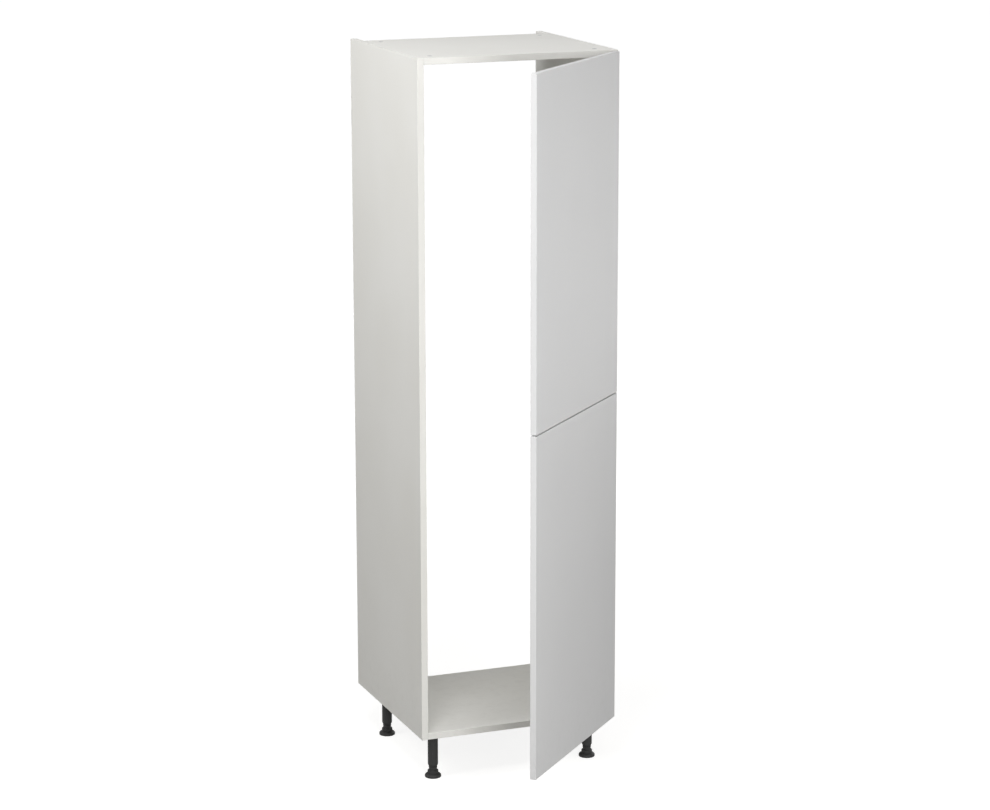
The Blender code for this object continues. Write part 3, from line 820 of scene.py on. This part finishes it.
@cache
def screw_tree(drive: Drive) -> GeometryTree:
    """Build a tree that sets a screw's head on every point.

    Args:
        drive: How the head is driven.

    Returns:
        The tree.
    """
    tree = GeometryTree(f"screws_{drive.name.lower()}", {
        "Diameter": FLOAT, "Height": FLOAT, "Slot Width": FLOAT, "Slot Depth": FLOAT,
        "Facing": VECTOR, "Seed": WHOLE, "Material": FINISH,
    })
    given, writer = tree.given, tree.writer
    radius = writer.calculate("MULTIPLY", given["Diameter"], 0.5)
    crown = writer.calculate("MULTIPLY", radius, CROWN_SHARE)
    lower = writer.calculate("MULTIPLY", given["Height"], BARREL_SHARE)
    upper = writer.calculate("SUBTRACT", given["Height"], lower)
    barrel = tree.cone(radius, radius, lower)
    dome = tree.moved(tree.cone(radius, crown, upper), Translation=tree.vector(0, 0, lower))
    joined = tree.place("GeometryNodeJoinGeometry")
    for part in (barrel, dome):
        writer.feed(joined.inputs[0], part)
    head = tree.place("GeometryNodeMergeByDistance", Geometry=joined.outputs[0], Distance=HEAD_WELD)

    reach = writer.calculate("MULTIPLY", given["Diameter"], SLOT_REACH[drive])
    deep = writer.calculate("MULTIPLY", given["Slot Depth"], 2)
    bars = (tree.vector(reach, given["Slot Width"], deep), tree.vector(given["Slot Width"], reach, deep))
    cut = tree.place("GeometryNodeMeshBoolean", {"operation": "DIFFERENCE"}, Mesh_1=head.outputs[0])
    for size in bars[:drive.value]:
        bar = tree.place("GeometryNodeMeshCube", Size=size).outputs["Mesh"]
        writer.feed(cut.inputs["Mesh 2"], tree.moved(bar, Translation=tree.vector(0, 0, given["Height"])))

    aim = tree.place("FunctionNodeAlignRotationToVector", {"axis": "Z"}, Vector=given["Facing"])
    spin = tree.place("FunctionNodeRandomValue", {"data_type": "FLOAT"}, Seed=given["Seed"])
    for index, end in ((2, 0.0), (3, pi)):
        writer.feed(spin.inputs[index], end)
    about = tree.place("FunctionNodeAxisAngleToRotation", Axis=(0.0, 0.0, 1.0), Angle=spin.outputs[1])
    turned = tree.place("FunctionNodeRotateRotation", {"rotation_space": "LOCAL"})
    for target, source in zip(turned.inputs, (aim, about)):
        writer.feed(target, source.outputs[0])
    tree.close(tree.copied(given["Geometry"], cut.outputs["Mesh"], Rotation=turned.outputs[0]))
    return tree


@cache
def rib_tree() -> GeometryTree:
    """Build a tree that stands ribs in a ring round every point.

    Returns:
        The tree.
    """
    tree = GeometryTree("rib_ring", {
        "Count": WHOLE, "Radius": FLOAT, "Width": FLOAT, "Proud": FLOAT, "Height": FLOAT,
        "Material": FINISH,
    })
    given, writer = tree.given, tree.writer
    circle = tree.place("GeometryNodeMeshCircle", Vertices=given["Count"], Radius=given["Radius"])
    half = writer.calculate("MULTIPLY", given["Width"], 0.5)
    rib = tree.place(
        "GeometryNodeMeshCylinder", {"fill_type": "NGON"},
        Vertices=RIB_SIDES, Radius=half, Depth=given["Height"],
    )
    thin = tree.vector(writer.calculate("DIVIDE", given["Proud"], given["Width"]), 1, 1)
    flat = tree.moved(rib.outputs["Mesh"], Scale=thin)
    outwards = writer.node("GeometryNodeInputPosition").outputs[0]
    aim = tree.place("FunctionNodeAlignRotationToVector", {"axis": "X"}, Vector=outwards)
    ring = tree.copied(circle.outputs["Mesh"], flat, Rotation=aim.outputs[0])
    real = tree.place("GeometryNodeRealizeInstances", Geometry=ring).outputs[0]
    tree.close(tree.copied(given["Geometry"], real))
    return tree


@dataclass(frozen=True)
class ScrewHeads:
    """Screw heads of one kind."""

    diameter: float
    height: float
    drive: Drive
    slot_width: float = 0.0012
    slot_depth: float = 0.0009

    def set_in(self, name: str, points: Sequence[Vector], facing: Vector, body: str) -> Object:
        """Set the heads on their points.

        Args:
            name: The piece's name.
            points: Where the heads sit.
            facing: The way that the heads face.
            body: The body that carries them.

        Returns:
            The piece.
        """
        made = screw_tree(self.drive).run(name, points, body, {
            "Diameter": self.diameter, "Height": self.height, "Slot Width": self.slot_width,
            "Slot Depth": self.slot_depth, "Facing": tuple(facing), "Seed": SCREW_SEED,
            "Material": SCREW_STEEL.made(),
        })
        return made


SOCKET_SCREW = ScrewHeads(diameter=0.0078, height=0.0022, drive=Drive.CROSS)
PLATE_SCREW = ScrewHeads(diameter=0.0084, height=0.0021, drive=Drive.CROSS)
ARM_SCREW = ScrewHeads(diameter=0.0074, height=0.0019, drive=Drive.SLOT, slot_width=0.0011)
CUP_SCREW = ScrewHeads(diameter=0.0078, height=0.0015, drive=Drive.CROSS, slot_depth=0.0007)
DOWNWARDS = Vector((0, 0, -1))
INTO_UNIT = Vector((-1, 0, 0))


@dataclass(frozen=True)
class Carcass:
    """The two sides, the top and the base, and the cams that draw them together."""

    panels: tuple[str, ...] = ("left_side_panel", "right_side_panel", "top_panel", "base_panel")

    def dress(self) -> None:
        """Give the boards and the cams their finishes."""
        for node in self.panels:
            CARCASS_BOARD.dress(node)
            LOG.info("board %s", node)
        for board in ("top", "base"):
            for side in Side:
                for row in Row:
                    paint(f"{board}_cam_{side.value}_{row.value}", CAST_ZINC.made())


@dataclass(frozen=True)
class Doors:
    """The two slab doors."""

    turn: float = DOOR_TURN

    def dress(self) -> None:
        """Give the doors their finish, along their own faces."""
        for leaf in Leaf:
            DOOR_BOARD.dress(f"{leaf.value}_door", self.turn)
            LOG.info("door %s", leaf.value)


@dataclass(frozen=True)
class Leg:
    """An adjustable leg: socket, sleeve and foot, turned round one axis."""

    row: Row
    side: Side
    sides: int = 56
    flange: float = 0.004
    flange_round: float = 0.0008
    socket_wall: float = 0.003
    socket_fit: float = 0.0003
    screw_circle: float = 0.048
    screws: int = 4
    sleeve_roof: float = 0.004
    sleeve_lip: float = 0.0004
    nose: float = 0.0030
    nose_step: float = 0.0011
    bore_fit: float = 0.0004
    sole_edge: tuple[tuple[float, float], ...] = ((0.0011, 0.0), (0.0003, 0.0006), (0.0, 0.0016))
    dome_start: float = 0.42
    dome_steps: int = 8
    ring_bottom: float = 0.011
    ring_top: float = 0.021
    ring_proud: float = 0.0005
    foot_round: float = 0.0006
    neck: float = 0.0117
    neck_top: float = 0.0262
    stem: float = 0.0125
    stem_start: float = 0.0285
    thread_start: float = 0.0298
    thread_end: float = 0.003
    thread_pitch: float = 0.0018
    thread_depth: float = 0.0007
    ribs: int = 30
    rib_width: float = 0.0016
    rib_proud: float = 0.0009
    rib_inset: float = 0.0012

    @property
    def name(self) -> str:
        """The leg's name in the frame."""
        return f"{self.row.value}_{self.side.value}_leg"

    @property
    def centre(self) -> Vector:
        """The place of the leg's axis on the floor."""
        low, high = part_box(f"{self.name}_foot")
        return Vector(((low.x + high.x) / 2, (low.y + high.y) / 2, 0))

    @property
    def sleeve_radius(self) -> float:
        """The sleeve's outer radius."""
        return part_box(f"{self.name}_sleeve")[1].x - self.centre.x

    def revolve(self, kind: str, profile: Sequence[tuple[float, float]]) -> Object:
        """Turn a profile about the leg's axis, in place of the node of the same name.

        Args:
            kind: Which piece of the leg it is.
            profile: Radii and heights, from axis to axis.

        Returns:
            The piece.
        """
        mesh = bmesh.new()
        verts = [mesh.verts.new((radius, 0, height)) for radius, height in profile]
        edges = [mesh.edges.new(pair) for pair in zip(verts, verts[1:])]
        bmesh.ops.spin(
            mesh, geom=verts + edges, cent=(0, 0, 0), axis=(0, 0, 1), angle=2 * pi,
            steps=self.sides, use_merge=True,
        )
        bmesh.ops.translate(mesh, vec=self.centre, verts=mesh.verts)
        node = f"{self.name}_{kind}"
        made = as_object(f"{node}_round", mesh, LEG_PLASTIC.made())
        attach(made, body_of(node))
        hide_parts(node)
        return made

    def socket(self) -> Object:
        """Make the screwed flange with the short collar that holds the sleeve.

        Returns:
            The piece.
        """
        low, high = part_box(f"{self.name}_socket")
        edge, step = (high.x - low.x) / 2, self.flange_round
        top, under = high.z, high.z - self.flange
        inner = self.sleeve_radius + self.socket_fit
        outer = inner + self.socket_wall
        return self.revolve("socket", (
            (0, under), (inner, under), (inner, low.z + step), (inner + step, low.z),
            (outer - step, low.z), (outer, low.z + step), (outer, under - step), (outer + step, under),
            (edge - step, under), (edge, under + step), (edge, top - step), (edge - step, top), (0, top),
        ))

    def sleeve(self) -> Object:
        """Make the tube that the foot's stem turns in, with a stepped nose at its mouth.

        Returns:
            The piece.
        """
        low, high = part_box(f"{self.name}_sleeve")
        outer, lip = (high.x - low.x) / 2, self.sleeve_lip
        bore, nose = self.stem + self.bore_fit, outer - self.nose_step
        roof, shoulder = high.z - self.sleeve_roof, low.z + self.nose
        return self.revolve("sleeve", (
            (0, roof), (bore, roof), (bore, low.z + lip), (bore + lip, low.z), (nose - lip, low.z),
            (nose, low.z + lip), (nose, shoulder), (outer, shoulder + lip), (outer, high.z - lip),
            (outer - lip, high.z), (0, high.z),
        ))

    def foot(self) -> Object:
        """Make the domed foot with its grip ring and threaded stem.

        Returns:
            The piece.
        """
        low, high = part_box(f"{self.name}_foot")
        edge, step = (high.x - low.x) / 2, self.foot_round
        ring, top = self.sleeve_radius + self.ring_proud, self.ring_top
        sole = [(edge - inset, low.z + height) for inset, height in self.sole_edge]
        return self.revolve("foot", [
            (0, low.z), *sole, *self.dome(ring, edge),
            (ring, self.ring_bottom + step), (ring, top - step), (ring - step, top),
            (self.neck + step, top), (self.neck, top + step), (self.neck, self.neck_top),
            (self.stem, self.stem_start), *self.thread(self.thread_start, high.z - self.thread_end),
            (self.stem, high.z - step), (self.stem - step, high.z), (0, high.z),
        ])

    def dome(self, ring: float, edge: float) -> Profile:
        """Shape the top of the foot's sole, from its edge up to the grip ring.

        Args:
            ring: The ring's radius.
            edge: The sole's radius.

        Returns:
            Radii and heights, upwards.
        """
        angles = [number * pi / 2 / self.dome_steps for number in range(self.dome_steps + 1)]
        start, rise = self.dome_start * self.ring_bottom, (1 - self.dome_start) * self.ring_bottom
        return [(ring + (edge - ring) * cos(angle), start + rise * sin(angle)) for angle in angles]

    def thread(self, start: float, end: float) -> Profile:
        """Shape the stem's thread as even ridges.

        Args:
            start: The height of its first ridge.
            end: The height that its last ridge stays under.

        Returns:
            Radii and heights, upwards.
        """
        root, fourth = self.stem - self.thread_depth, self.thread_pitch / 4
        profile: Profile = []
        for number in range(int((end - start) / self.thread_pitch)):
            low = start + number * self.thread_pitch
            ridge = (self.stem, root, root, self.stem)
            profile += [(radius, low + step * fourth) for step, radius in enumerate(ridge)]
        return profile

    def grip(self) -> Object:
        """Make the ribs of the foot's grip ring.

        Returns:
            The piece.
        """
        place = self.centre + Vector((0, 0, (self.ring_bottom + self.ring_top) / 2))
        made = rib_tree().run(f"{self.name}_grip_ribs", [place], body_of(f"{self.name}_foot"), {
            "Count": self.ribs, "Radius": self.sleeve_radius + self.ring_proud, "Width": self.rib_width,
            "Proud": self.rib_proud, "Height": self.ring_top - self.ring_bottom - 2 * self.rib_inset,
            "Material": LEG_PLASTIC.made(),
        })
        return made

    def fasten(self) -> Object:
        """Make the screws that hold the socket under the base.

        Returns:
            The piece.
        """
        reach = self.screw_circle / 2
        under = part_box(f"{self.name}_socket")[1].z - self.flange
        angles = [pi / 4 + number * 2 * pi / self.screws for number in range(self.screws)]
        points = [self.centre + Vector((reach * cos(angle), reach * sin(angle), under)) for angle in angles]
        carrier = body_of(f"{self.name}_socket")
        return SOCKET_SCREW.set_in(f"{self.name}_screws", points, DOWNWARDS, carrier)

    def build(self) -> None:
        """Make the whole leg."""
        for piece in (self.socket(), self.sleeve(), self.foot(), self.grip(), self.fasten()):
            LOG.info("leg piece %s, %d faces", piece.name, len(piece.data.polygons))


@dataclass(frozen=True)
class Hinge:
    """A concealed hinge: the finishes of its pressed and cast pieces, and its screws."""

    leaf: Leaf
    number: int
    plate_screw_pitch: float = 0.032
    plate_screw_from_front: float = 0.037
    plate_wing: float = 0.002
    arm_screws_from_front: tuple[float, float] = (0.064, 0.042)
    arm_rise: float = 0.0097
    cup_screw_pitch: float = 0.045
    cup_flange_width: float = 0.0205
    door_turn: float = DOOR_TURN

    @property
    def name(self) -> str:
        """The hinge's name in the frame."""
        return f"{self.leaf.value}_hinge_{self.number}"

    def dress(self) -> None:
        """Give the hinge's nodes their finishes."""
        paint(f"{self.name}_plate", CAST_ZINC.made())
        for kind in ("arm", "cup", "long_link", "short_link"):
            paint(f"{self.name}_{kind}", NICKEL_STEEL.made())

    def plate_screws(self) -> Object:
        """Make the two screws through the plate's wings into the side panel.

        Returns:
            The piece.
        """
        low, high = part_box(f"{self.name}_plate")
        across, middle = high.x - self.plate_wing, (low.z + high.z) / 2
        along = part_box("right_side_panel")[0].y + self.plate_screw_from_front
        half = self.plate_screw_pitch / 2
        points = [Vector((across, along, middle + rise)) for rise in (-half, half)]
        carrier = body_of(f"{self.name}_plate")
        return PLATE_SCREW.set_in(f"{self.name}_plate_screws", points, INTO_UNIT, carrier)

    def arm_screws(self) -> Object:
        """Make the two slotted screws that set the arm's depth and side place.

        Returns:
            The piece.
        """
        low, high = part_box(f"{self.name}_arm")
        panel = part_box("right_side_panel")[0]
        across, middle = panel.x - self.arm_rise, (low.z + high.z) / 2
        points = [Vector((across, panel.y + reach, middle)) for reach in self.arm_screws_from_front]
        carrier = body_of(f"{self.name}_arm")
        return ARM_SCREW.set_in(f"{self.name}_arm_screws", points, INTO_UNIT, carrier)

    def cup_screws(self) -> Object:
        """Make the two screws through the cup's flange into the door.

        Returns:
            The piece.
        """
        span = Span.of(f"{self.name}_cup", self.door_turn)
        door = Matrix.Rotation(self.door_turn, 3, "Z")
        across = span.high.x - self.cup_flange_width / 2
        middle, half = (span.low.z + span.high.z) / 2, self.cup_screw_pitch / 2
        points = [door @ Vector((across, span.low.y, middle + rise)) for rise in (-half, half)]
        facing, carrier = door @ Vector((0, -1, 0)), body_of(f"{self.name}_cup")
        return CUP_SCREW.set_in(f"{self.name}_cup_screws", points, facing, carrier)

    def build(self) -> None:
        """Make the hinge's fittings."""
        self.dress()
        for piece in (self.plate_screws(), self.arm_screws(), self.cup_screws()):
            LOG.info("hinge piece %s, %d faces", piece.name, len(piece.data.polygons))


@dataclass(frozen=True)
class SoftBox:
    """A soft rectangular lamp that faces a place."""

    name: str
    place: Place
    aim: Place
    width: float
    height: float
    power: float

    def build(self) -> None:
        """Hang the lamp."""
        lamp = bpy.data.lights.new(self.name, "AREA")
        lamp.shape = "RECTANGLE"
        lamp.size, lamp.size_y = self.width, self.height
        lamp.energy = self.power
        made = bpy.data.objects.new(self.name, lamp)
        made.location = self.place
        ahead = Vector(self.aim) - Vector(self.place)
        made.rotation_euler = ahead.to_track_quat("-Z", "Y").to_euler()
        bpy.context.collection.objects.link(made)


@dataclass(frozen=True)
class Studio:
    """A pale floor, soft lamps, a dim even sky and the camera."""

    lamps: tuple[SoftBox, ...]
    sky: float
    floor_colour: RGBA = (0.34, 0.335, 0.32, 1)
    floor_roughness: float = 0.9
    floor_reach: float = 30.0
    glow: tuple[float, float] = (0.84, 1.0)
    glow_reach: tuple[float, float] = (1.2, 4.5)
    camera_place: Place = (-3.0760, -7.7523, 2.9877)
    yaw: float = radians(21.342)
    pitch: float = radians(12.824)
    roll: float = radians(-0.088)
    lens: float = 108.62
    sensor: float = 36.0

    def lay_floor(self) -> None:
        """Lay the floor, which shows white where nothing shades it."""
        low, _ = CAD_BOUNDS
        reach = self.floor_reach
        mesh = bmesh.new()
        corners = [(-reach, -reach), (reach, -reach), (reach, reach), (-reach, reach)]
        mesh.faces.new([mesh.verts.new((x, y, low[2])) for x, y in corners])
        surface = bpy.data.materials.new("studio_floor")
        surface.use_nodes = True
        writer = NodeWriter(surface.node_tree)
        shader = surface.node_tree.nodes["Principled BSDF"]
        shader.inputs["Base Color"].default_value = self.floor_colour
        shader.inputs["Roughness"].default_value = self.floor_roughness
        shader.inputs["Specular IOR Level"].default_value = 0.0
        shader.inputs["Emission Color"].default_value = WHITE
        away = writer.node("ShaderNodeVectorMath", operation="LENGTH")
        writer.feed(away.inputs[0], writer.node("ShaderNodeTexCoord").outputs["Object"])
        rise = writer.span(away.outputs["Value"], *self.glow_reach, *self.glow)
        glow = writer.calculate("MULTIPLY", writer.background_rays(), rise)
        writer.feed(shader.inputs["Emission Strength"], glow)
        floor = as_object("studio_floor", mesh, surface)

    def light_sky(self) -> None:
        """Light the world evenly, and show it white."""
        world = bpy.data.worlds.new("studio_sky")
        world.use_nodes = True
        bpy.context.scene.world = world
        writer = NodeWriter(world.node_tree)
        back = world.node_tree.nodes["Background"]
        back.inputs["Color"].default_value = WHITE
        strength = writer.span(writer.background_rays(), 0, 1, start=self.sky, end=1.0)
        writer.feed(back.inputs["Strength"], strength)

    def stand_camera(self) -> None:
        """Stand the camera where the photograph was taken from."""
        level = cos(self.pitch)
        ahead = Vector((sin(self.yaw) * level, cos(self.yaw) * level, -sin(self.pitch)))
        right = Vector((cos(self.yaw), -sin(self.yaw), 0))
        up = right.cross(ahead)
        turn = Matrix((right, up, -ahead)).transposed().to_4x4()
        data = bpy.data.cameras.new("camera")
        data.lens = self.lens
        data.sensor_width = self.sensor
        data.sensor_fit = "HORIZONTAL"
        camera = bpy.data.objects.new("camera", data)
        rolled = turn @ Matrix.Rotation(self.roll, 4, "Z")
        camera.matrix_world = Matrix.Translation(self.camera_place) @ rolled
        bpy.context.collection.objects.link(camera)
        bpy.context.scene.camera = camera

    def build(self) -> None:
        """Set the studio up."""
        bpy.context.scene.view_settings.view_transform = "Standard"
        self.lay_floor()
        self.light_sky()
        self.stand_camera()
        for lamp in self.lamps:
            lamp.build()


STUDIO = Studio(
    lamps=(
        SoftBox("side_lamp", (-2.6, 0.0, 2.9), (-0.3, 0.2, 1.75), 1.3, 1.3, 43.0),
        SoftBox("front_lamp", (-0.3, -3.4, 1.4), (0.0, -0.2, 1.0), 1.4, 2.4, 66.0),
        SoftBox("corner_lamp", (-1.8, -2.3, 4.9), (0.0, -0.1, 1.0), 1.2, 1.2, 70.0),
        SoftBox("door_lamp", (2.0, -2.6, 2.8), (0.1, -0.3, 1.5), 1.2, 1.2, 12.5),
        SoftBox("ceiling_lamp", (-0.2, -0.9, 7.5), (0.0, -0.2, 0.5), 2.0, 2.0, 66.0),
        SoftBox("rear_lamp", (3.0, 2.4, 1.0), (0.2, 0.4, 1.1), 1.6, 1.6, 40.0),
    ),
    sky=0.08,
)


def main() -> None:
    """Dress every sub-assembly, then set up the studio."""
    logging.basicConfig(level=logging.INFO, format="%(name)s: %(message)s")
    Carcass().dress()
    Doors().dress()
    for row in Row:
        for side in Side:
            Leg(row, side).build()
    for leaf in Leaf:
        for number in (1, 2, 3):
            Hinge(leaf, number).build()
    STUDIO.build()


if __name__ == "__main__":
    main()
